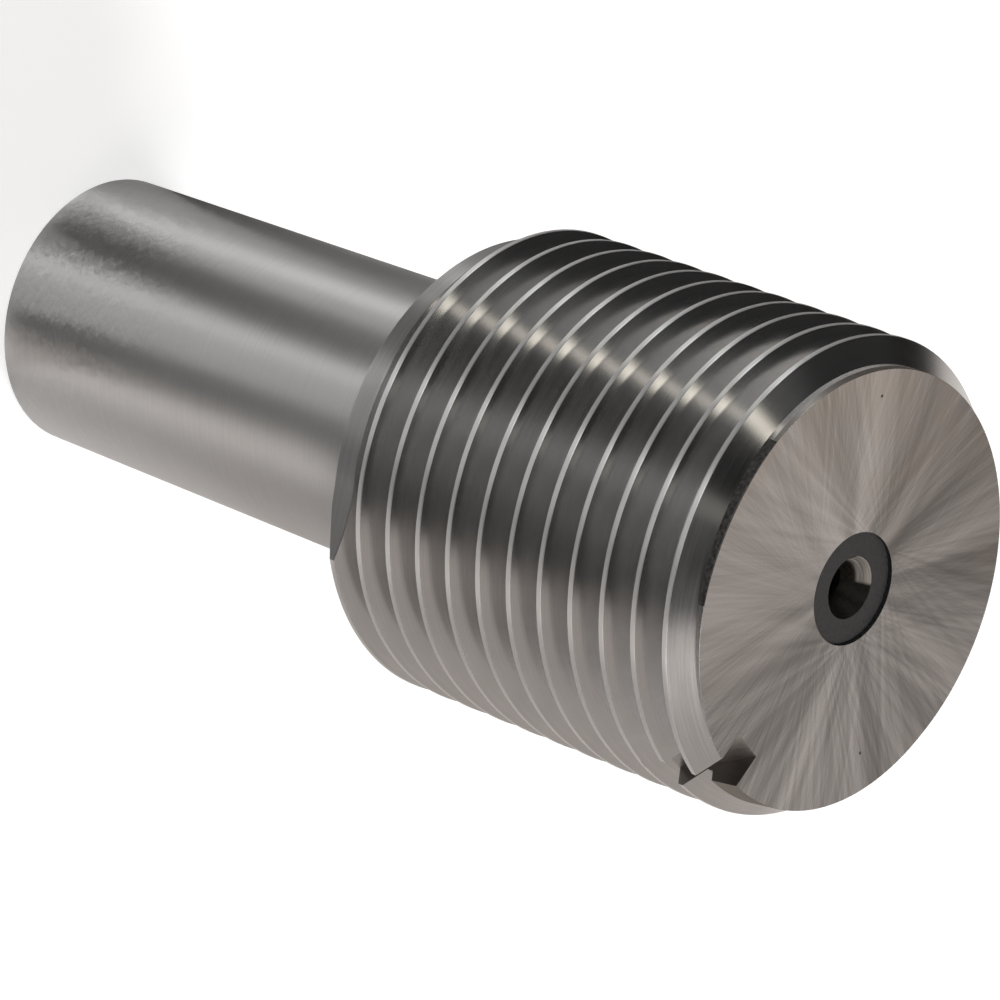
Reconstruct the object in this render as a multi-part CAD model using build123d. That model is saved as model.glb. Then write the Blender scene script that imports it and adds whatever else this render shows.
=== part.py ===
"""Thread plug gauge: the GO gauging member for a 24 x 2 metric thread, on its plain taper shank.

One piece of hardened and ground steel. It stands on the free end of its shank, +Z up the axis to the front
face of the threaded head, origin at the centre of the shank's end. Sizes are in millimetres, angles in
degrees about +Z from +X.
"""

from build123d import *
from math import ceil, radians, tan
import os

# Shank: slow taper, larger at the head
shank_length = 28.0
shank_diameter = 14.7
shank_taper = 50.0

# Head: the threaded gauging length
major_diameter = 24.0
head_length = 24.0
pitch = 2.0
flank_angle = 60.0
crest_flat = 0.27
thread_depth = 1.227
root_overlap = 0.2

# Rear end of the thread, ground down to a plain land and blended in with a wheel
land_depth = 0.95
rear_edge_break = 0.3
thread_start_angle = -86.0
thread_start_height = 0.86
blend_wheel_diameter = 60.0

# Front end of the thread: dirt slot, then the stump of the last part turn fading out
slot_angle = -37.0
slot_width = 2.0
slot_depth = 2.75
slot_rise_angle = 25.0
stump_turns = 0.4
stump_depth = 1.27
stump_offset = 0.3
stump_taper_angle = 10.0

# Protected centre in the front face
recess_diameter = 5.6
recess_depth = 0.2
centre_diameter = 3.1
centre_angle = 60.0
pilot_diameter = 1.6
pilot_depth = 4.0

# Overrun of the cutting shapes past what they cut
clear = 1.0

major_radius = major_diameter / 2
root_radius = major_radius - thread_depth
land_radius = major_radius - land_depth
front_z = shank_length + head_length
thread_start_z = shank_length + thread_start_height
flank_run = tan(radians(flank_angle / 2))
pitch_radius = major_radius - (pitch / 4 - crest_flat / 2) / flank_run


def half_width(radius):
    """Half of the ridge's axial width at a radius, along its two straight flanks."""
    return crest_flat / 2 + (major_radius - radius) * flank_run


def ridge(top_radius, turns, start_angle, start_z):
    """Right-hand helical ridge with a flat top, in lengths of a turn, its middle at start_z where it begins.

    Each flank is straight and carries an edge at the pitch line, where ridge and groove are equally wide.
    """
    radii = [root_radius - root_overlap, top_radius]
    if top_radius > pitch_radius:
        radii.insert(1, pitch_radius)
    rear = [(radius, -half_width(radius)) for radius in radii]
    front = [(radius, half_width(radius)) for radius in reversed(radii)]
    count = ceil(turns)
    turn = turns / count
    edges = [Edge.make_helix(pitch, turn * pitch, r, (0, 0, z)) for r, z in rear + front]
    sides = [Face.make_surface_from_curves(a, b) for a, b in zip(edges, edges[1:] + edges[:1])]
    ends = [Face(Wire.make_polygon([edge @ t for edge in edges], close=True)) for t in (0, 1)]
    piece = Solid(Shell(sides + ends))
    start = Pos(0, 0, start_z) * Rot(0, 0, start_angle)
    return [start * Pos(0, 0, i * turn * pitch) * Rot(0, 0, 360 * i * turn) * piece for i in range(count)]


def shank():
    """Plain taper shank, run on a little inside the head."""
    length = shank_length + clear
    end_radius = shank_diameter / 2 - shank_length / shank_taper / 2
    inner_radius = end_radius + length / shank_taper / 2
    rims = [Edge.make_circle(end_radius), Edge.make_circle(inner_radius, Plane.XY.offset(length))]
    ends = [Face(Wire([rim])) for rim in rims]
    return Solid(Shell([Face.make_surface_from_curves(*rims), *ends]))


def rear_blend():
    """Sweep of the wheel that cuts the thread's start down to the rear land."""
    centre = land_radius + blend_wheel_diameter / 2
    top_z = thread_start_z + pitch / 2
    height = top_z - shank_length + clear
    place = Rot(0, 0, thread_start_angle) * Pos(centre, 0, top_z - height / 2)
    return place * Cylinder(blend_wheel_diameter / 2, height)


def stump_limit():
    """Off-centre cone the last part of thread is ground to, so it fades out beyond the slot."""
    height = pitch + 2 * clear
    grow = height * tan(radians(stump_taper_angle))
    place = Rot(0, 0, slot_angle) * Pos(stump_offset, 0, front_z + clear - height / 2)
    top_radius = major_radius - stump_depth - clear * tan(radians(stump_taper_angle))
    return place * Cone(top_radius + grow, top_radius, height)


def dirt_slot():
    """Slot cut radially through the first turns, its floor rising towards the rear."""
    floor = major_radius - slot_depth
    reach = major_radius + clear - floor
    slope = tan(radians(slot_rise_angle))
    profile = Polyline(
        (floor - clear * slope, front_z + clear),
        (floor + reach, front_z + clear),
        (floor + reach, front_z - reach / slope),
        close=True,
    )
    sketch = Plane.XZ * make_face(profile)
    return Rot(0, 0, slot_angle) * extrude(sketch, slot_width / 2, both=True)


def front_centre():
    """Protected centre: shallow recess, cone and pilot hole."""
    recess_floor = front_z - recess_depth
    mouth = centre_diameter / 2
    pilot = pilot_diameter / 2
    cone_end = recess_floor - (mouth - pilot) / tan(radians(centre_angle / 2))
    pilot_end = cone_end - pilot_depth
    profile = Polyline(
        (0, front_z + clear),
        (recess_diameter / 2, front_z + clear),
        (recess_diameter / 2, recess_floor),
        (mouth, recess_floor),
        (pilot, cone_end),
        (pilot, pilot_end),
        (0, pilot_end),
        close=True,
    )
    return revolve(Plane.XZ * make_face(profile), Axis.Z)


def rear_edge_ring():
    """Ring of waste outside the small edge break round the rear land."""
    outside = major_radius + clear
    profile = Polyline(
        (land_radius - rear_edge_break, shank_length),
        (land_radius, shank_length + rear_edge_break),
        (outside, shank_length + rear_edge_break),
        (outside, shank_length),
        close=True,
    )
    return revolve(Plane.XZ * make_face(profile), Axis.Z)


def head():
    """Threaded head: ridges on a plain core, cut to length and ground away at both ends."""
    long_head = head_length + 2 * clear
    core = Pos(0, 0, shank_length - clear) * extrude(Circle(root_radius), long_head)
    part_turn = (slot_angle - thread_start_angle) % 360 / 360
    room = head_length - thread_start_height - half_width(root_radius)
    turns = int(room / pitch - part_turn) + part_turn
    thread = ridge(major_radius, turns, thread_start_angle, thread_start_z)
    rear_stump = ridge(land_radius, 1, thread_start_angle, thread_start_z - pitch)
    front_stump = ridge(pitch_radius, stump_turns, slot_angle, thread_start_z + turns * pitch)
    limit = stump_limit()
    solid = core.fuse(*thread, *rear_stump, *[piece & limit for piece in front_stump])
    envelope = Pos(0, 0, shank_length) * extrude(Circle(major_radius + clear), head_length)
    return (solid & envelope) - rear_blend() - rear_edge_ring() - dirt_slot()


gauge = head() + shank() - front_centre()
os.makedirs("parts", exist_ok=True)
export_step(gauge, "parts/gauge_member.step")
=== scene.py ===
# %% [markdown]
# # A thread plug gauge
# One bar of hardened steel: a ground metric thread on a head, and behind it a plain tapered shank that
# fits a handle. It stands on the end of its shank, with its axis along Z. This lesson builds the thread
# as one fine surface, gives every ground area its own finish, and lights it the way polished steel has to
# be lit.

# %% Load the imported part
import math
import bmesh
import bpy
import numpy as np
from mathutils import Matrix


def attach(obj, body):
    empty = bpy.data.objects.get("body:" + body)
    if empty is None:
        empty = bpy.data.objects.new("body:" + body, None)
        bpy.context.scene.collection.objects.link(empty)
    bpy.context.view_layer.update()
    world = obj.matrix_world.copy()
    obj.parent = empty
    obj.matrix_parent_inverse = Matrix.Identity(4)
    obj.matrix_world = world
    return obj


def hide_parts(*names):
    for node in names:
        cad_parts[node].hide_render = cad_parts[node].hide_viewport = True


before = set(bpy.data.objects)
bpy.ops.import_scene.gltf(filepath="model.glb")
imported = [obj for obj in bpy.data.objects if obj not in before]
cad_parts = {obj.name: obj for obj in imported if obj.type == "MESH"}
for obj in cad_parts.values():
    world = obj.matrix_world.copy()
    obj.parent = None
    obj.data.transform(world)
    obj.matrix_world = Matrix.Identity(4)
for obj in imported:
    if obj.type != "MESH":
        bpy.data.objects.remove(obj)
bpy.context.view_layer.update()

# %% [markdown]
# The sizes of the gauge, in millimetres, as its maker's drawing would give them. The same numbers were
# used for the solid, apart from the edge breaks, the stump's front side, and the slot's floor, which
# rises at 25 degrees there and at 30 here, where it stops short of the third ridge. Angles go round Z
# from X, and the thread's start at the rear is the angle everything on the thread is counted from.

# %% Sizes
SHANK_LENGTH, SHANK_RADIUS, SHANK_TAPER, SHANK_EDGE = 28.0, 7.35, 50.0, 0.15
SHOULDER_MIDDLE = 9.0
CREST_RADIUS, ROOT_RADIUS, LAND_RADIUS = 12.0, 10.773, 11.05
FRONT_Z = 52.0
PITCH, CREST_FLAT = 2.0, 0.27
FLANK_RUN = math.tan(math.radians(30))
START_ANGLE, START_Z = -86.0, 28.86
WHEEL_RADIUS = 30.0
REAR_EDGE, FRONT_EDGE = 0.3, 0.015
RIM_WIDTH, RIM_START, RIM_END = 0.1, 226.0, 272.0
EDGE_DROP, EDGE_WIDTH = 0.02, 0.03
EDGE_SLOPE = EDGE_DROP / (EDGE_WIDTH + EDGE_DROP * FLANK_RUN)
SLOT_ANGLE, SLOT_WIDTH, SLOT_DEPTH, SLOT_RISE = -37.0, 2.0, 2.75, 30.0
STUMP_RADIUS, STUMP_OFFSET, STUMP_TAPER, STUMP_TURNS = 10.73, 0.3, 10.0, 0.4
RECESS_RADIUS, RECESS_DEPTH, MOUTH_RADIUS, PILOT_RADIUS, PILOT_DEPTH = 2.8, 0.2, 1.55, 0.8, 4.0
COLUMNS, SHANK_RINGS, SHARP_ANGLE = 720, 10, 14.0
HAIR, OVERRUN, FAR_OUT = 0.01, 1.0, 99.0
MM = 0.001
SLOT_TURN = (SLOT_ANGLE - START_ANGLE) % 360 / 360
LAST_TURN = 11 + SLOT_TURN
RIDGES = math.ceil((FRONT_Z - START_Z) / PITCH) + 1
print("ridge runs", round(LAST_TURN, 3), "turns from the rear blend to the slot")

# %% [markdown]
# The thread's surface could be a screw modifier on a small profile, but then the ground ends of the
# thread, where it fades into plain lands, would have to be cut afterwards. Here the surface is a height
# function instead: for every angle and height it says how far the steel is from the axis. The grinding
# away at both ends is then only a smaller value of the same function. A ground crest is never quite sharp
# either, so both of its edges fall away by two hundredths, and past the slot the last ridge runs straight
# up to the front face.


# %% The thread as a height function
def half_width(radius):
    """Half the ridge's width at a radius: half its flat, plus the fall from it times the flank's run."""
    return CREST_FLAT / 2 + (CREST_RADIUS - radius) * FLANK_RUN


def wheel_radius(turn):
    """Distance from the axis to a grinding wheel that touches the rear land where the thread starts.

    It is the near side of a circle of radius W with its centre at distance c, at an angle a from there:
    c cos a - sqrt(W squared - (c sin a) squared). Where the wheel isn't met, it is far out.
    """
    c = LAND_RADIUS + WHEEL_RADIUS
    a = 2 * np.pi * turn
    inside = WHEEL_RADIUS**2 - (c * np.sin(a)) ** 2
    near = c * np.cos(a) - np.sqrt(np.maximum(inside, 0))
    return np.where((inside > 0) & (np.cos(a) > 0), near, FAR_OUT)


def stump_radius(turn, z):
    """Distance from the axis to an off-centre cone, whose own radius R grows to the rear.

    It is e cos d + sqrt(R squared - (e sin d) squared), with the offset e and the angle d from the slot.
    """
    d = 2 * np.pi * (turn - SLOT_TURN)
    cone = STUMP_RADIUS + (FRONT_Z - z) * math.tan(math.radians(STUMP_TAPER))
    return STUMP_OFFSET * np.cos(d) + np.sqrt(cone**2 - (STUMP_OFFSET * np.sin(d)) ** 2)


def top_radius(count, z):
    """The ridge's top after count turns: land, then the wheel's ramp, full crest, stump and nothing."""
    part = count % 1
    blended = np.clip(wheel_radius(part), LAND_RADIUS, CREST_RADIUS)
    ramp = np.where((count >= 0) & (count < 0.5), blended, CREST_RADIUS)
    stump = np.clip(stump_radius(part, z), ROOT_RADIUS, CREST_RADIUS)
    front = np.where(count > LAST_TURN + STUMP_TURNS, ROOT_RADIUS, stump)
    return np.where(count < 0, LAND_RADIUS, np.where(count > LAST_TURN, front, ramp))


def thread_radius(part, z):
    """The steel's distance from the axis at a part of a turn and a height: the highest ridge there.

    A ridge's flanks fall from its crest, its edges are a steeper fall near its top, and its top is flat.
    """
    radius = np.full(np.broadcast(part, z).shape, ROOT_RADIUS)
    for whole in range(-1, RIDGES):
        above = z - (START_Z + PITCH * (whole + part))
        away = np.where((whole + part > LAST_TURN) & (above > 0), 0, np.abs(above))
        top = top_radius(whole + part, z)
        flank = CREST_RADIUS - (away - CREST_FLAT / 2) / FLANK_RUN
        edge = top - (away - half_width(top) + EDGE_WIDTH) * EDGE_SLOPE
        radius = np.maximum(radius, np.minimum(np.minimum(flank, edge), top))
    return radius


after_slot = np.array([6.0, 40.0, 60.0, 90.0, 150.0])
front_radii = thread_radius((SLOT_TURN + after_slot / 360) % 1, np.full(len(after_slot), FRONT_Z))
print("radius at the front face,", after_slot, "degrees after the slot:", front_radii.round(3))

# %% [markdown]
# Crests and roots are sharp lines, so the mesh has to have its own edges along them. The grid is
# therefore a long strip that is wound up like the thread itself: one parameter is the count of turns, the
# other goes across the profile from the rear foot of a ridge, over its crest, to the front foot. Points
# beyond the ends of the head are slid back to the end's height, and points that fall together are joined
# afterwards.


# %% Grids and how they are joined
def place(turn, radius, z):
    """Point on a circle: x = r cos, y = r sin, of the angle that the part of a turn stands for."""
    angle = np.radians(START_ANGLE + 360 * turn)
    return np.stack([radius * np.cos(angle), radius * np.sin(angle), z + 0 * radius], -1)


points, quads, finishes = [], [], []


def add_grid(grid, finish, climb=0):
    """Adds a closed band of points as quads, row above row. Each row meets the one climb rows above it."""
    rows, columns = grid.shape[:2]
    number = sum(len(p) for p in points) + np.arange(rows * columns).reshape(rows, columns)
    points.append(grid.reshape(-1, 3))
    seam = number[np.minimum(np.arange(rows) + climb, rows - 1), :1]
    number = np.concatenate([number, seam], axis=1)
    corners = np.stack([number[:-1, :-1], number[:-1, 1:], number[1:, 1:], number[1:, :-1]], -1)
    quads.append(corners.reshape(-1, 4))
    finishes.append(np.broadcast_to(finish, corners.shape[:2]).reshape(-1))


def add_rings(rings, finish):
    """Adds rings given as (radius, height) pairs. A radius is one number, or a value for every column."""
    add_grid(np.stack([place(part, radius + 0 * part, z) for radius, z in rings]), finish)


FINISHES = ["flank", "crest", "root", "front_land", "rear_land", "stump", "face", "rim", "shank", "recess",
            "bore", "shoulder", "slot", "slot_wall"]
(FLANK, CREST, ROOT, FRONT_LAND, REAR_LAND, STUMP, FACE, RIM, SHANK, RECESS,
 BORE, SHOULDER, SLOT, SLOT_WALL) = range(len(FINISHES))
part = np.arange(COLUMNS) / COLUMNS
rim_part = (START_ANGLE + 360 * part - RIM_START) / (RIM_END - RIM_START)
# The arc where the face's edge and the groove beside it get a painted shade.
painted_shade_arc = (rim_part > 0) & (rim_part < 1)
REAR_Z, HEAD_Z = SHANK_LENGTH + REAR_EDGE, FRONT_Z - FRONT_EDGE
print(COLUMNS, "columns round the gauge")

# %% The thread
heights, strips = [], []
for whole in range(-2, RIDGES):
    middle = START_Z + PITCH * (whole + part)
    top = top_radius(whole + part, middle)
    foot, side = half_width(ROOT_RADIUS), half_width(np.maximum(top - EDGE_DROP, ROOT_RADIUS))
    across = [foot, side, half_width(top) - EDGE_WIDTH]
    heights += [middle - w for w in across] + [middle + w for w in across[::-1]]
    past_slot = whole + part > LAST_TURN
    ground = (whole + part < 1) & (top < CREST_RADIUS)
    rear_side = np.where(past_slot, FRONT_LAND, FLANK)
    front_side = np.where(past_slot, STUMP, FLANK)
    crest = np.where(past_slot, STUMP, np.where(ground, REAR_LAND, CREST))
    root = np.where(whole + part > LAST_TURN - 1, FRONT_LAND, np.where(whole < 0, REAR_LAND, ROOT))
    strips += [rear_side, crest, crest, crest, front_side, np.where(past_slot, STUMP, root)]
heights = np.clip(np.array(heights), REAR_Z, HEAD_Z)
radii = thread_radius(part[None, :], heights)
# Painted shade: over that arc, the groove by the face takes the black rim finish.
by_face = (heights > FRONT_Z - PITCH / 2) & (radii < ROOT_RADIUS + HAIR)
by_face = painted_shade_arc & by_face[:-1] & by_face[1:]
add_grid(place(part[None, :], radii, heights), np.where(by_face, RIM, np.array(strips[:-1])), climb=6)
print("thread rows", len(heights), "radius from", radii.min().round(3), "to", radii.max().round(3))

# %% [markdown]
# The rest is turned, so plain rings do: up the shank from the middle of its end, and over the front face
# into the protected centre. The rings carry the thread's own outline at both ends of the head, so that
# the joined mesh has no gap anywhere. The face's own edge is broken by only a hair. Along a part of it the
# groove is painted black and a thin black line runs round the face, which thins out at both ends: a
# painted shade, with a finish of its own. Elsewhere that edge takes the stump's darker finish.

# %% The turned surfaces
rear_outline = thread_radius(part, np.full(COLUMNS, REAR_Z))
front_outline = thread_radius(part, np.full(COLUMNS, HEAD_Z))
shank_end = SHANK_RADIUS - SHANK_LENGTH / SHANK_TAPER / 2
add_rings([(0.0, 0.0), (shank_end / 2, 0.0), (shank_end - SHANK_EDGE, 0.0)], SHOULDER)
shank_heights = np.linspace(1, SHANK_LENGTH, SHANK_RINGS)
shank_rings = [(shank_end + z / SHANK_TAPER / 2, z) for z in shank_heights]
add_rings([(shank_end - SHANK_EDGE, 0.0), (shank_end, SHANK_EDGE)] + shank_rings, SHANK)
shoulder_radii = (SHANK_RADIUS, SHOULDER_MIDDLE, LAND_RADIUS - REAR_EDGE)
add_rings([(radius, SHANK_LENGTH) for radius in shoulder_radii], SHOULDER)
add_rings([(LAND_RADIUS - REAR_EDGE, SHANK_LENGTH), (rear_outline, REAR_Z)], REAR_LAND)
rim = front_outline - FRONT_EDGE
inner = rim - HAIR - RIM_WIDTH * np.sin(np.pi * np.clip(rim_part, 0, 1))
add_rings([(front_outline, HEAD_Z), (rim, FRONT_Z)], np.where(painted_shade_arc, RIM, STUMP))
add_rings([(rim, FRONT_Z), (inner, FRONT_Z)], np.where(painted_shade_arc, RIM, FACE))
add_rings([(inner + (RECESS_RADIUS - inner) * t, FRONT_Z) for t in (0, 0.1, 0.3, 0.6, 1)], FACE)
floor_z = FRONT_Z - RECESS_DEPTH
cone_z = floor_z - (MOUTH_RADIUS - PILOT_RADIUS) / FLANK_RUN
add_rings([(RECESS_RADIUS, FRONT_Z), (RECESS_RADIUS, floor_z), (MOUTH_RADIUS, floor_z)], RECESS)
add_rings([(MOUTH_RADIUS, floor_z), (PILOT_RADIUS, cone_z), (PILOT_RADIUS, cone_z - PILOT_DEPTH),
           (0.0, cone_z - PILOT_DEPTH)], BORE)
print("pilot hole ends", round(cone_z - PILOT_DEPTH, 2), "mm above the shank's end")


# %% Joining
def join_points(points, quads, finishes):
    """One vertex for each different place. Quads shrunk to a line go, those with three corners stay."""
    places, number = np.unique(np.round(np.concatenate(points), 6) + 0.0, axis=0, return_inverse=True)
    corners = number.reshape(-1)[np.concatenate(quads)]
    finish = np.concatenate(finishes)
    repeated = corners == np.roll(corners, 1, axis=1)
    four, three = repeated.sum(1) == 0, repeated.sum(1) == 1
    triangles = corners[three][~repeated[three]].reshape(-1, 3)
    flat = (corners[four][:, 0] == corners[four][:, 2]) | (corners[four][:, 1] == corners[four][:, 3])
    faces = corners[four][~flat].tolist() + triangles.tolist()
    return places, faces, np.concatenate([finish[four][~flat], finish[three]])


def make_mesh(name, places, faces, finish):
    """Puts the joined points into a mesh in metres, each face with the number of its finish."""
    mesh = bpy.data.meshes.new(name)
    mesh.from_pydata((places * MM).tolist(), [], faces)
    mesh.polygons.foreach_set("material_index", finish.astype(np.int32))
    mesh.update()
    return mesh


places, faces, finish = join_points(points, quads, finishes)
gauge_mesh = make_mesh("gauge_steel", places, faces, finish)
print(len(places), "points,", len(faces), "faces, changed by validate:", gauge_mesh.validate())

# %% [markdown]
# The dirt slot is cut last, as on the real gauge: a small wheel goes through the first ridges, deeper at
# the front than at the rear. Its walls lean against the columns of the grid, so it is a Boolean cut with
# a wedge, and the result is kept as the gauge's mesh.

# %% The dirt slot
def slot_wedge():
    """A three-cornered prism: its long side is the slot's rising floor, its width is the slot's."""
    slope = math.tan(math.radians(SLOT_RISE))
    floor, out, top = CREST_RADIUS - SLOT_DEPTH, CREST_RADIUS + OVERRUN, FRONT_Z + OVERRUN
    side = np.array([(floor - OVERRUN * slope, top), (out, top), (out, FRONT_Z - (out - floor) / slope)])
    a = math.radians(SLOT_ANGLE)
    along, across = np.array([math.cos(a), math.sin(a), 0]), np.array([-math.sin(a), math.cos(a), 0])
    flat = side[:, :1] * along + side[:, 1:] * np.array([0, 0, 1.0])
    corners = np.concatenate([flat - across * SLOT_WIDTH / 2, flat + across * SLOT_WIDTH / 2])
    return corners, [[0, 2, 1], [3, 4, 5], [0, 1, 4, 3], [1, 2, 5, 4], [2, 0, 3, 5]]


wedge_points, wedge_faces = slot_wedge()
wedge_finish = np.array([SLOT_WALL, SLOT_WALL, SLOT, SLOT, SLOT])
wedge_mesh = make_mesh("slot_wedge", wedge_points, wedge_faces, wedge_finish)
gauge = bpy.data.objects.new("gauge_steel", gauge_mesh)
wedge = bpy.data.objects.new("slot_wedge", wedge_mesh)
for piece in (gauge, wedge):
    bpy.context.scene.collection.objects.link(piece)
for name in FINISHES:
    material = bpy.data.materials.new(name)
    material.use_nodes = True
    gauge_mesh.materials.append(material)
    wedge_mesh.materials.append(material)
cut = gauge.modifiers.new("cut", "BOOLEAN")
cut.operation, cut.solver, cut.object, cut.material_mode = "DIFFERENCE", "EXACT", wedge, "INDEX"
depsgraph = bpy.context.evaluated_depsgraph_get()
cut_mesh = bpy.data.meshes.new_from_object(gauge.evaluated_get(depsgraph))
gauge.modifiers.clear()
gauge.data = cut_mesh
bpy.data.objects.remove(wedge)
for mesh in (gauge_mesh, wedge_mesh):
    bpy.data.meshes.remove(mesh)
cut_mesh.name = "gauge_steel"
cut_mesh.polygons.foreach_set("use_smooth", np.ones(len(cut_mesh.polygons), bool))
cut_mesh.set_sharp_from_angle(angle=math.radians(SHARP_ANGLE))
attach(gauge, "root")
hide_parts("gauge_member")
print(len(cut_mesh.polygons), "faces after the slot")

# %% Closed and outward
check = bmesh.new()
check.from_mesh(cut_mesh)
open_edges = sum(1 for e in check.edges if len(e.link_faces) != 2)
print("edges not between two faces:", open_edges, "volume", round(check.calc_volume() / MM**3, 1), "cubic mm")
check.free()

# %% [markdown]
# The whole gauge is one hardened steel, so its finishes differ mainly in how they were ground. Grinding
# leaves fine parallel lines, and light that falls on them is drawn out across the lines, as on a record.
# The Principled shader does this with its anisotropy, and a Tangent node says which way the lines run.
# The lines themselves are noise that is squeezed hard in one direction. Colour differences are small,
# apart from the darker rear land and stump, which are painted shade: most of what is seen on steel is
# its surroundings.


# %% Node helpers
def fill(tree, socket, value):
    """Gives a socket a value, or links it when the value is another node's output."""
    if isinstance(value, bpy.types.NodeSocket):
        tree.links.new(value, socket)
    else:
        socket.default_value = value


def add_node(tree, kind, inputs=None, **settings):
    """Adds one shader node with its settings and its inputs, each a value or an output to link."""
    new = tree.nodes.new("ShaderNode" + kind)
    for key, value in settings.items():
        setattr(new, key, value)
    for name, value in (inputs or {}).items():
        fill(tree, new.inputs[name], value)
    return new


def calc(tree, operation, *values):
    """One Math node."""
    new = tree.nodes.new("ShaderNodeMath")
    new.operation = operation
    for socket, value in zip(new.inputs, values):
        fill(tree, socket, value)
    return new.outputs[0]


def spread(tree, value, low, high, start=0.0, end=1.0):
    """Stretches start...end to low...high with soft ends and keeps it there."""
    inputs = {"Value": value, "From Min": start, "From Max": end, "To Min": low, "To Max": high}
    return add_node(tree, "MapRange", inputs, interpolation_type="SMOOTHSTEP").outputs[0]


def noise(tree, vector, scale, detail=3.0):
    """Noise between 0 and 1."""
    return add_node(tree, "TexNoise", {"Vector": vector, "Scale": scale, "Detail": detail}).outputs["Fac"]


def blend(tree, factor, first, second):
    """Colour between two colours."""
    new = add_node(tree, "Mix", data_type="RGBA")
    for socket, value in ((new.inputs[0], factor), (new.inputs[6], first), (new.inputs[7], second)):
        fill(tree, socket, value)
    return new.outputs[2]


def distance(tree, x, y):
    """The square root of x squared plus y squared."""
    squares = calc(tree, "ADD", calc(tree, "MULTIPLY", x, x), calc(tree, "MULTIPLY", y, y))
    return calc(tree, "SQRT", squares)


def start_finish(name):
    """A finish's tree and shader, the point in millimetres, its parts, and its distance from the axis."""
    tree = bpy.data.materials[name].node_tree
    shader = tree.nodes["Principled BSDF"]
    shader.inputs["Metallic"].default_value = 1.0
    where = add_node(tree, "TexCoord").outputs["Object"]
    point = add_node(tree, "VectorMath", {0: where, 3: 1 / MM}, operation="SCALE").outputs[0]
    x, y, z = add_node(tree, "SeparateXYZ", {0: point}).outputs
    return tree, shader, point, (x, y, z), distance(tree, x, y)


print("helpers for the finishes ready")

# %% [markdown]
# Round the shank, the crests, the flanks and the lands the lines run round the axis. Across them counts
# the height on a cylinder, and the distance from the axis on a flank or a flat end. A slower noise adds
# the faint patches of handling, and a few pits sit in the middle of random cells.


# %% Finishes ground round the axis
NOISE_BAND, BUMP_STRENGTH = (0.3, 0.7), 0.4
LINE_TURN, LINE_SHARE, LINE_DETAIL, QUARTER_TURN = 0.25, 0.6, 4.0, 0.25
PATCHES_PER_MM, PITS_PER_MM, PIT_SIZE = 0.35, 0.45, 0.045
PIT_COLOUR = (0.12, 0.115, 0.11, 1)
MOTTLE_GRAIN, MOTTLE_REST, MOTTLE_ZONE = (1.4, 2.5), 0.12, (3.0, 16.0)


def squeeze(tree, x, y, across, around, lines):
    """A point for noise: slow round the axis, fast across the lines."""
    parts = {"X": calc(tree, "MULTIPLY", x, around), "Y": calc(tree, "MULTIPLY", y, around),
             "Z": calc(tree, "MULTIPLY", across, lines)}
    return add_node(tree, "CombineXYZ", parts).outputs[0]


def pits(tree, point, per_mm, size, share):
    """1 inside small round pits: near the middle of a random cell, and only in a share of the cells."""
    cells = add_node(tree, "TexVoronoi", {"Vector": point, "Scale": per_mm})
    near = calc(tree, "LESS_THAN", cells.outputs["Distance"], size * per_mm)
    lot = add_node(tree, "SeparateXYZ", {0: cells.outputs["Color"]}).outputs[0]
    return calc(tree, "MULTIPLY", near, calc(tree, "LESS_THAN", lot, share))


def ground_round(name, dark, bright, roughness, anisotropy, across="z", lines=9.0, depth=0.002, share=0.04,
                 mottle=0.0):
    """Steel with lines round the axis: two near tones, roughness that follows the lines, a fine bump.

    The mottle adds slow unevenness to the bump, which fades from the free end towards the head.
    """
    tree, shader, point, (x, y, z), radius = start_finish(name)
    height = z if across == "z" else radius
    fine = noise(tree, squeeze(tree, x, y, height, LINE_TURN, lines), 1.0, LINE_DETAIL)
    patch = calc(tree, "MULTIPLY", noise(tree, point, PATCHES_PER_MM), 1 - LINE_SHARE)
    tone = calc(tree, "ADD", calc(tree, "MULTIPLY", fine, LINE_SHARE), patch)
    steel = blend(tree, spread(tree, tone, 0.0, 1.0, *NOISE_BAND), (*dark, 1), (*bright, 1))
    pit = pits(tree, point, PITS_PER_MM, PIT_SIZE, share)
    fill(tree, shader.inputs["Base Color"], blend(tree, pit, steel, PIT_COLOUR))
    fill(tree, shader.inputs["Roughness"], spread(tree, tone, roughness * 0.9, roughness * 1.1, *NOISE_BAND))
    shader.inputs["Anisotropic"].default_value = anisotropy
    shader.inputs["Anisotropic Rotation"].default_value = QUARTER_TURN
    tangent = add_node(tree, "Tangent", direction_type="RADIAL", axis="Z")
    fill(tree, shader.inputs["Tangent"], tangent.outputs[0])
    rough = fine
    if mottle > 0:
        uneven = noise(tree, squeeze(tree, x, y, z, *MOTTLE_GRAIN), 1.0)
        fading = spread(tree, z, mottle, mottle * MOTTLE_REST, *MOTTLE_ZONE)
        rough = calc(tree, "ADD", fine, calc(tree, "MULTIPLY", uneven, fading))
    bump = add_node(tree, "Bump", {"Strength": BUMP_STRENGTH, "Distance": depth * MM, "Height": rough})
    fill(tree, shader.inputs["Normal"], bump.outputs[0])


ground_round("shank", (0.46, 0.455, 0.45), (0.53, 0.525, 0.52), 0.5, 1.0, depth=0.0015, mottle=75.0)
ground_round("crest", (0.52, 0.515, 0.51), (0.58, 0.575, 0.57), 0.37, 1.0)
ground_round("flank", (0.47, 0.462, 0.455), (0.53, 0.522, 0.515), 0.17, 0.7, "radius", 14.0, 0.0005, 0.15)
ground_round("root", (0.40, 0.39, 0.38), (0.48, 0.465, 0.45), 0.3, 0.6)
ground_round("front_land", (0.38, 0.373, 0.367), (0.44, 0.432, 0.425), 0.17, 0.7, depth=0.0005)
# Painted shade: the rear land's steel is darker than the shank's and the crests'.
ground_round("rear_land", (0.28, 0.277, 0.275), (0.36, 0.357, 0.355), 0.42, 1.0)
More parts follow.
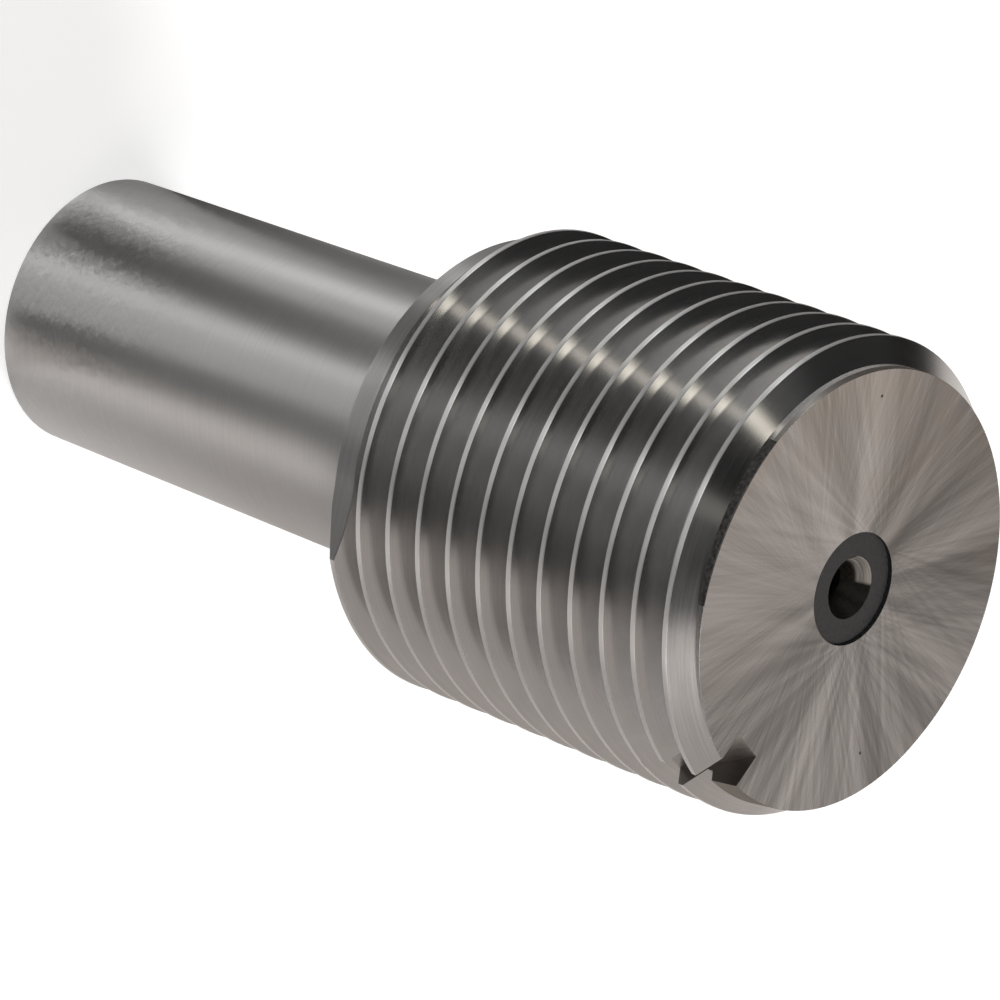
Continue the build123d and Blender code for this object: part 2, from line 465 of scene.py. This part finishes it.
# Painted shade: the stump, and the face's edge outside the black arc, get darker and browner steel than the
# crests, with a brown specular tint.
ground_round("stump", (0.26, 0.246, 0.232), (0.33, 0.313, 0.293), 0.42, 1.0)
STUMP_SHADE_TINT = (0.35, 0.32, 0.29, 1)
stump_shader = bpy.data.materials["stump"].node_tree.nodes["Principled BSDF"]
stump_shader.inputs["Specular Tint"].default_value = STUMP_SHADE_TINT
ground_round("shoulder", (0.42, 0.42, 0.42), (0.50, 0.50, 0.50), 0.42, 0.7, across="radius")
print("ground finishes ready, among them", [m.name for m in cut_mesh.materials][:6])

# %% [markdown]
# The front face was ground by a cup wheel, which leaves strokes that run out from the middle like rays,
# but not quite: they cross each other at small angles. Each layer of strokes below therefore spreads from
# its own centre, a little beside the axis and hidden in the recess. The direction from the centre is the
# place in the noise, so a stroke keeps its value along its length, and five layers cross. Over them lie
# broad wedges of tone that differ at random. On top is a painted highlight: two paler quarters and two
# darker ones, the bow-tie that lamps draw on a cross-ground face. One side is painted a little darker as
# painted shade. A brown tint lies towards one side, and there are a few dark specks.

# %% The face
STROKES = (((2.4, 0.6), 6.0, 0.3), ((-1.9, 1.6), 15.0, 0.22), ((0.3, -2.5), 40.0, 0.2),
           ((-1.2, -1.1), 75.0, 0.16), ((1.3, 2.1), 130.0, 0.12))
STROKE_LENGTH, STROKE_SHARE = 0.035, 0.55
WEDGES, WEDGE_LENGTH = 3.0, 0.05
# Painted highlight in two opposite quarters of the face, and painted shade towards one side.
BOWTIE_HIGHLIGHT, SIDE_SHADE = 0.13, -0.045
FACE_DARK, FACE_BRIGHT = (0.18, 0.173, 0.167, 1), (0.5, 0.48, 0.465, 1)
FACE_TONES, FACE_ROUGHNESS = (0.32, 0.68), (0.22, 0.3, 0.35, 0.65)
BROWN, BROWN_LEAN, BROWN_PER_MM, BROWN_SPREAD = (0.36, 0.29, 0.22, 1), -0.05, 0.25, (0.0, 0.3, 0.6, 1.2)
BROWN_PATCHES = 1.2
STROKE_DETAIL, STROKE_DEPTH, STROKE_DRAW = 1.5, 0.003, 0.3
FACE_PITS = (0.3, 0.04, 0.08)
SPECKS = ((-9.45, -0.73), (8.31, 3.06), (7.1, -6.4))
SPECK_SIZE, SPECK_COLOUR = 0.08, (0.06, 0.05, 0.045, 1)


def strokes(tree, x, y, centre, density, length):
    """Noise at the direction from a centre, changing only slowly with the distance from it."""
    dx = calc(tree, "SUBTRACT", x, centre[0])
    dy = calc(tree, "SUBTRACT", y, centre[1])
    far = distance(tree, dx, dy)
    parts = {"X": calc(tree, "MULTIPLY", calc(tree, "DIVIDE", dx, far), density),
             "Y": calc(tree, "MULTIPLY", calc(tree, "DIVIDE", dy, far), density),
             "Z": calc(tree, "MULTIPLY", far, length)}
    return noise(tree, add_node(tree, "CombineXYZ", parts).outputs[0], 1.0, STROKE_DETAIL)


tree, shader, point, (x, y, z), radius = start_finish("face")
crossed = 0.0
for centre, density, share in STROKES:
    layer = strokes(tree, x, y, centre, density, STROKE_LENGTH)
    crossed = calc(tree, "ADD", crossed, calc(tree, "MULTIPLY", layer, share))
wedges = strokes(tree, x, y, (0.0, 0.0), WEDGES, WEDGE_LENGTH)
east, north = calc(tree, "DIVIDE", x, radius), calc(tree, "DIVIDE", y, radius)
# Painted highlight: paler along two opposite quarters, darker along the other two. Painted shade: one side a
# little darker.
painted_bowtie = calc(tree, "MULTIPLY", calc(tree, "MULTIPLY", east, north), BOWTIE_HIGHLIGHT)
painted_side_shade = calc(tree, "MULTIPLY", calc(tree, "ADD", east, north), SIDE_SHADE)
wedges = calc(tree, "MULTIPLY", wedges, 1 - STROKE_SHARE)
tone = calc(tree, "ADD", calc(tree, "MULTIPLY", crossed, STROKE_SHARE), wedges)
tone = calc(tree, "ADD", tone, calc(tree, "ADD", painted_bowtie, painted_side_shade))
tone = spread(tree, tone, 0.0, 1.0, *FACE_TONES)
steel = blend(tree, tone, FACE_DARK, FACE_BRIGHT)
patches = calc(tree, "MULTIPLY", noise(tree, point, BROWN_PER_MM), BROWN_PATCHES)
brown = calc(tree, "ADD", calc(tree, "MULTIPLY", x, BROWN_LEAN), patches)
steel = blend(tree, spread(tree, brown, *BROWN_SPREAD), steel, BROWN)
pit = pits(tree, point, *FACE_PITS)
for speck in SPECKS:
    parts = {"X": calc(tree, "SUBTRACT", x, speck[0]), "Y": calc(tree, "SUBTRACT", y, speck[1])}
    beside = add_node(tree, "CombineXYZ", parts).outputs[0]
    away = add_node(tree, "VectorMath", {0: beside}, operation="LENGTH").outputs["Value"]
    pit = calc(tree, "MAXIMUM", pit, calc(tree, "LESS_THAN", away, SPECK_SIZE))
fill(tree, shader.inputs["Base Color"], blend(tree, pit, steel, SPECK_COLOUR))
fill(tree, shader.inputs["Roughness"], spread(tree, crossed, *FACE_ROUGHNESS))
shader.inputs["Anisotropic"].default_value = STROKE_DRAW
tangent = add_node(tree, "Tangent", direction_type="RADIAL", axis="Z")
fill(tree, shader.inputs["Tangent"], tangent.outputs[0])
bump = add_node(tree, "Bump", {"Strength": BUMP_STRENGTH, "Distance": STROKE_DEPTH * MM, "Height": crossed})
fill(tree, shader.inputs["Normal"], bump.outputs[0])
print("face:", len(STROKES), "layers of strokes across")

# %% [markdown]
# The protected centre was never ground: it keeps the black skin of the hardening. On one side of its
# cone's mouth lies a painted highlight, bright steel in rings. The line round the face and the groove
# beside it are black as well, a painted shade. The slot is cut by a small wheel across the thread, so its
# lines run along it. Its steel is tinted a little brown as a painted reflection, and towards the front its
# walls get a painted shade and its floor a painted light.


# %% Black centre and slot
HIGHLIGHT_STEEL, HIGHLIGHT_SIDE, HIGHLIGHT_MOUTH = (0.42, 0.39, 0.36, 1), (0.7, 0.8), (1.1, 1.3)
RINGS_PER_MM, HIGHLIGHT_RINGS = 14.0, (0.4, 1.0, 0.35, 0.65)
SKIN_METAL, GRAIN_PER_MM, GRAIN_DETAIL, GRAIN_STRENGTH, GRAIN_DEPTH = 0.4, 6.0, 4.0, 0.5, 0.01
SLOT_LINES, SLOT_LINE_DEPTH, SLOT_ROUGHNESS, PAINTED_FRONT_ZONE = (0.4, 8.0), 0.003, (0.32, 0.45), 1.6


def black_skin(name, dark, bright, roughness, gloss=0.5, highlight_angle=None):
    """Nearly black and uneven: oxide in the centre, painted shade on the rim. At an angle, a painted
    highlight in rings.
    """
    tree, shader, point, (x, y, z), radius = start_finish(name)
    shader.inputs["Metallic"].default_value = SKIN_METAL
    shader.inputs["Specular IOR Level"].default_value = gloss
    grain = noise(tree, point, GRAIN_PER_MM, GRAIN_DETAIL)
    skin = blend(tree, spread(tree, grain, 0, 1, *NOISE_BAND), (*dark, 1), (*bright, 1))
    # Painted highlight: one side of the cone's mouth is painted as bright steel in rings.
    if highlight_angle is not None:
        a = math.radians(highlight_angle)
        along = calc(tree, "MULTIPLY", x, math.cos(a))
        along = calc(tree, "ADD", along, calc(tree, "MULTIPLY", y, math.sin(a)))
        side = spread(tree, calc(tree, "DIVIDE", along, radius), 0.0, 1.0, *HIGHLIGHT_SIDE)
        rings = noise(tree, squeeze(tree, x, y, radius, LINE_TURN, RINGS_PER_MM), 1.0)
        painted_highlight = calc(tree, "MULTIPLY", side, spread(tree, rings, *HIGHLIGHT_RINGS))
        painted_highlight = calc(tree, "MULTIPLY", painted_highlight, spread(tree, radius, 0.0, 1.0, *HIGHLIGHT_MOUTH))
        skin = blend(tree, painted_highlight, skin, HIGHLIGHT_STEEL)
    fill(tree, shader.inputs["Base Color"], skin)
    satin = spread(tree, grain, roughness * 0.85, roughness * 1.15, *NOISE_BAND)
    fill(tree, shader.inputs["Roughness"], satin)
    relief = {"Strength": GRAIN_STRENGTH, "Distance": GRAIN_DEPTH * MM, "Height": grain}
    fill(tree, shader.inputs["Normal"], add_node(tree, "Bump", relief).outputs[0])


black_skin("recess", (0.013, 0.013, 0.014), (0.026, 0.025, 0.025), 0.5)
black_skin("bore", (0.008, 0.007, 0.006), (0.019, 0.016, 0.013), 0.5, gloss=0.1, highlight_angle=135)
# Painted shade: the black line round the face and in the groove beside it.
black_skin("rim", (0.012, 0.012, 0.012), (0.07, 0.067, 0.064), 0.6)


def cut_steel(name, dark, bright, front, share, start):
    """Slot steel: lines along the slot, and above the height start a share of the front colour: painted shade
    on the walls, painted light on the floor.
    """
    tree, shader, point, (x, y, z), radius = start_finish(name)
    lines = noise(tree, squeeze(tree, z, radius, calc(tree, "ADD", x, y), *SLOT_LINES), 1.0)
    steel = blend(tree, spread(tree, lines, 0, 1, *NOISE_BAND), (*dark, 1), (*bright, 1))
    steel = blend(tree, spread(tree, z, 0.0, share, start, start + PAINTED_FRONT_ZONE), steel, (*front, 1))
    fill(tree, shader.inputs["Base Color"], steel)
    fill(tree, shader.inputs["Roughness"], spread(tree, lines, *SLOT_ROUGHNESS, *NOISE_BAND))
    relief = {"Strength": BUMP_STRENGTH, "Distance": SLOT_LINE_DEPTH * MM, "Height": lines}
    fill(tree, shader.inputs["Normal"], add_node(tree, "Bump", relief).outputs[0])


# Painted light on the floor and painted shade on the walls towards the front. The brown tint is a painted
# reflection.
cut_steel("slot", (0.22, 0.205, 0.195), (0.28, 0.26, 0.245), (0.42, 0.39, 0.365), 0.9, 48.6)
cut_steel("slot_wall", (0.40, 0.375, 0.35), (0.50, 0.47, 0.44), (0.05, 0.045, 0.04), 0.75, 47.4)
print("centre and slot finished")

# %% [markdown]
# The camera is where the photographer's was. Its place and turn were found by fitting the crest lines and
# the rims of the photograph, and the lens is long, so the gauge shows hardly any perspective. Its right,
# down and ahead directions are given as they lie in the gauge's own frame.

# %% Camera
VIEW_RIGHT = np.array([-0.18125, 0.67049, 0.71943])
VIEW_DOWN = np.array([0.96187, -0.03152, 0.2717])
VIEW_AHEAD = np.array([0.20485, 0.74124, -0.63921])
AIM = np.array([0.0, 0.0, 40.0])
AIM_PLACE = np.array([8.032, 0.938, 316.247])
SENSOR_WIDTH, LENS_PER_WIDTH = 36.0, 6.53756
CLIP_START = 0.01
spot = AIM - AIM_PLACE[0] * VIEW_RIGHT - AIM_PLACE[1] * VIEW_DOWN - AIM_PLACE[2] * VIEW_AHEAD
camera_data = bpy.data.cameras.new("camera")
camera_data.sensor_width = SENSOR_WIDTH
camera_data.lens = SENSOR_WIDTH * LENS_PER_WIDTH
camera = bpy.data.objects.new("camera", camera_data)
turn = Matrix(np.stack([VIEW_RIGHT, -VIEW_DOWN, -VIEW_AHEAD], 1).tolist()).to_4x4()
camera.matrix_world = Matrix.Translation((spot * MM).tolist()) @ turn
camera_data.clip_start = CLIP_START
bpy.context.scene.collection.objects.link(camera)
bpy.context.scene.camera = camera
print("camera stands", spot.round(1), "mm from the foot of the gauge, lens", round(camera_data.lens, 1))

# %% [markdown]
# Polished steel is black or white according to what it faces, so the studio is built as what the steel
# sees: a pale warm wall on one side, a dark room on the other, and a white table. The wall and the room
# are the world's colour, worked out from the direction with two soft-edged planes. The room has a dim far
# end, a paler strip across its ceiling, and two small windows, which are the outer half of the two rows
# of spots on the flanks. A pale line along the horizon is the far edge of the table.

# %% Studio
WALL_EDGE, EDGE_SOFTNESS = (0.835, 0.52, -0.178), 0.05
WALL_END, END_SOFTNESS = (0.996, 0.087, 0.0), 0.12
WALL_COLOUR, WALL_FOOT, WALL_TOP = (1.0, 0.92, 0.87, 1), 0.66, 0.5
HORIZON_COLOUR, HORIZON, HORIZON_BAND = (1, 0.93, 0.88, 1), 0.9, (0.06, 0.14)
ROOM_GLOOM, ROOM_END, ROOM_BACK = 0.015, (0.1, 0.0, -0.44, -0.36), (0.1, 0.02, 0.28, 0.5)
STRIP_RISE, STRIP_FALL = (0.0, 0.08, -0.27, -0.14), (0.08, 0.03, -0.1, 0.08)
WINDOWS = (((-0.46, 0.172, 0.871), 3.5), ((-0.186, -0.108, 0.977), 0.4))
WINDOW_COLOUR, WINDOW_EDGE = (1, 0.95, 0.84, 1), (0.9983, 0.9996)
world = bpy.data.worlds.new("studio")
bpy.context.scene.world = world
world.use_nodes = True
sky = world.node_tree
toward = add_node(sky, "TexCoord").outputs["Generated"]
height = add_node(sky, "SeparateXYZ", {0: toward}).outputs[2]


def side_of(plane, softness):
    """0 behind a plane through the gauge, 1 in front, softly: the direction dotted with its normal."""
    depth = add_node(sky, "VectorMath", {0: toward, 1: plane}, operation="DOT_PRODUCT").outputs["Value"]
    return spread(sky, depth, 0.0, 1.0, -softness, softness)


wall = calc(sky, "MINIMUM", side_of(WALL_EDGE, EDGE_SOFTNESS), side_of(WALL_END, END_SOFTNESS))
left = add_node(sky, "SeparateXYZ", {0: toward}).outputs[0]
behind = add_node(sky, "SeparateXYZ", {0: toward}).outputs[1]
far_end = calc(sky, "MINIMUM", spread(sky, left, *ROOM_END), spread(sky, behind, *ROOM_BACK))
strip = calc(sky, "MINIMUM", spread(sky, left, *STRIP_RISE), spread(sky, left, *STRIP_FALL))
room = calc(sky, "ADD", far_end, strip)
room = calc(sky, "ADD", room, ROOM_GLOOM)
room_light = add_node(sky, "Background", {"Color": (1, 1, 1, 1), "Strength": room})
for middle, strength in WINDOWS:
    depth = add_node(sky, "VectorMath", {0: toward, 1: middle}, operation="DOT_PRODUCT").outputs["Value"]
    window = spread(sky, depth, 0.0, strength, *WINDOW_EDGE)
    window_light = add_node(sky, "Background", {"Color": WINDOW_COLOUR, "Strength": window})
    room_light = add_node(sky, "AddShader", {0: room_light.outputs[0], 1: window_light.outputs[0]})
wall_strength = spread(sky, height, WALL_FOOT, WALL_TOP)
wall_light = add_node(sky, "Background", {"Color": WALL_COLOUR, "Strength": wall_strength})
horizon_light = add_node(sky, "Background", {"Color": HORIZON_COLOUR, "Strength": HORIZON})
both = add_node(sky, "MixShader", {0: wall, 1: room_light.outputs[0], 2: wall_light.outputs[0]})
low = spread(sky, height, 1.0, 0.0, *HORIZON_BAND)
studio = add_node(sky, "MixShader", {0: low, 1: both.outputs[0], 2: horizon_light.outputs[0]})
sky.links.new(studio.outputs[0], sky.nodes["World Output"].inputs[0])
print("studio wall faces", WALL_EDGE)

# %% [markdown]
# The lamps are wide and far away, so their shadows are soft and the table is lit evenly. The key lamp
# stands high behind the gauge and lights the table. The steel shows a lamp only where it mirrors it: the
# front and the fill lamp as the line along the shank and its slow fading, the edge lamp as the highlight
# above it, and the side lamp as the warm lower side.

# %% Lamps
LAMPS = {
    "key": dict(azimuth=42, height=64, width=17, power=1.4, colour=(1, 1, 1)),
    "front": dict(azimuth=-124, height=30, width=11, power=0.38, colour=(1, 1, 1)),
    "fill": dict(azimuth=-106, height=32, width=30, power=0.38, colour=(1, 1, 1)),
    "side": dict(azimuth=-48, height=42, width=24, power=0.45, colour=(1, 0.92, 0.86)),
    "edge": dict(azimuth=177, height=22, width=16, power=0.5, colour=(1, 1, 1)),
}


def add_lamp(name, azimuth, height, width, power, colour):
    """A far round lamp, width degrees across, at an angle round Z and at another above the table."""
    lamp_data = bpy.data.lights.new(name, "SUN")
    lamp_data.energy, lamp_data.angle, lamp_data.color = power, math.radians(width), colour
    lamp = bpy.data.objects.new(name, lamp_data)
    lamp.rotation_euler = (0, math.radians(90 - height), math.radians(azimuth))
    bpy.context.scene.collection.objects.link(lamp)


for name, settings in LAMPS.items():
    add_lamp(name, **settings)
level = sum(s["power"] * math.sin(math.radians(s["height"])) for s in LAMPS.values()) / math.pi
print("the lamps alone bring a white card on the table to", round(level, 2))

# %% [markdown]
# Beside polished steel a photographer stands cards just outside the picture. Without them the flanks
# would mirror only the white table, and the thread would be flat and pale. The cards here stand in a
# curve round the gauge, dark with paler bands, and a narrow bright one between two of them is the inner
# half of the row of spots on the flanks. Others lie on the table, which the shank and the crests mirror.
# Only rays that steel throws back see them: they cast no shadow, and another camera looks through them to
# the table.

# %% Cards
CARD_DISTANCE, CARD_HEIGHT, CARD_FOOT, CARD_GREY = 75.0, 38.0, 0.2, 0.06
STANDING = (CARD_DISTANCE, CARD_DISTANCE, CARD_HEIGHT)
LYING = (8.0, 32.0, 0.3)
LYING_FAR = (36.0, CARD_DISTANCE, 0.3)
CARDS = (
    (60.0, 106.0, STANDING, (1, 0.82, 0.72), 0.5),
    (106.0, 196.3, STANDING, (1, 1, 1), None),
    (196.3, 201.0, STANDING, (1, 0.96, 0.87), 2.0),
    (201.0, 288.0, STANDING, (1, 1, 1), None),
    (288.0, 420.0, STANDING, (1, 0.92, 0.87), None),
    (199.0, 226.0, LYING, (1, 1, 1), 0.08),
    (270.0, 297.0, LYING, (1, 1, 1), 0.2),
    (122.0, 154.0, LYING, (1, 0.85, 0.75), 0.12),
    (325.0, 410.0, LYING_FAR, (1, 0.93, 0.88), 0.8),
)
CARD_BANDS = ((158, 203, 0.44, 2.5), (235, 250, 0.3, 3), (233, 275, 0.18, 5), (297, 500, 0.43, 4),
              (346, 500, 0.3, 4))


def card_grey(angle):
    """A dark ground with pale bands, each band's two edges soft: the product of two logistic steps."""
    grey = CARD_GREY + 0 * angle
    for start, end, more, soft in CARD_BANDS:
        grey = grey + more / (1 + np.exp((start - angle) / soft)) / (1 + np.exp((angle - end) / soft))
    return grey


def add_card(start, end, sizes, colour, grey):
    """A sheet between two angles round Z, from one distance and the table to another distance and a height.

    Its grey is one number all over, or the formula's value at each point where none is given.
    """
    near, far, high = sizes
    degrees = np.linspace(start, end, int(end - start))
    angle = np.radians(degrees)
    round_axis = np.stack([np.cos(angle), np.sin(angle), 0 * angle], -1)
    rows = np.concatenate([near * round_axis + [0, 0, CARD_FOOT], far * round_axis + [0, 0, high]]) * MM
    count = len(angle)
    sheet = bpy.data.meshes.new(f"card_{start:.0f}")
    sheet.from_pydata(rows.tolist(), [], [(i, i + 1, i + 1 + count, i + count) for i in range(count - 1)])
    if grey is None:
        greys = sheet.attributes.new("grey", "FLOAT", "POINT")
        greys.data.foreach_set("value", np.tile(card_grey(degrees), 2))
    finish = bpy.data.materials.new(f"card_{start:.0f}")
    finish.use_nodes = True
    tree = finish.node_tree
    tree.nodes.clear()
    if grey is None:
        grey = add_node(tree, "Attribute", attribute_name="grey").outputs["Fac"]
    shade = add_node(tree, "Emission", {"Color": (*colour, 1), "Strength": grey})
    add_node(tree, "OutputMaterial", {"Surface": shade.outputs[0]})
    sheet.materials.append(finish)
    card = bpy.data.objects.new(f"card_{start:.0f}", sheet)
    card.visible_camera = card.visible_diffuse = card.visible_transmission = card.visible_shadow = False
    bpy.context.scene.collection.objects.link(card)


for card in CARDS:
    add_card(*card)
print(len(CARDS), "cards, the standing ones", CARD_DISTANCE, "mm from the axis")

# %% [markdown]
# The table is a plain pale sheet. To be as white as the photograph's ground it glows a little, but only
# for rays from the camera and for rays that steel throws back, so that the gauge itself gets no more
# light and the shadow stays.

# %% Table
TABLE_SIDE = 3.0
TABLE_COLOUR, TABLE_GLOW = (0.57, 0.57, 0.57, 1), 0.6
corners = [(TABLE_SIDE * x, TABLE_SIDE * y, 0) for x, y in ((-1, -1), (1, -1), (1, 1), (-1, 1))]
table_mesh = bpy.data.meshes.new("table")
table_mesh.from_pydata(corners, [], [(0, 1, 2, 3)])
table_finish = bpy.data.materials.new("table")
table_finish.use_nodes = True
tree = table_finish.node_tree
tree.nodes.clear()
paper = add_node(tree, "BsdfDiffuse", {"Color": TABLE_COLOUR})
path = add_node(tree, "LightPath").outputs
seen = calc(tree, "MAXIMUM", path["Is Camera Ray"], path["Is Glossy Ray"])
seen = calc(tree, "MAXIMUM", seen, path["Is Transmission Ray"])
glow = add_node(tree, "Emission", {"Strength": calc(tree, "MULTIPLY", seen, TABLE_GLOW)})
whole = add_node(tree, "AddShader", {0: paper.outputs[0], 1: glow.outputs[0]})
add_node(tree, "OutputMaterial", {"Surface": whole.outputs[0]})
table_mesh.materials.append(table_finish)
table = bpy.data.objects.new("table", table_mesh)
bpy.context.scene.collection.objects.link(table)
bpy.context.scene.view_settings.view_transform = "Standard"
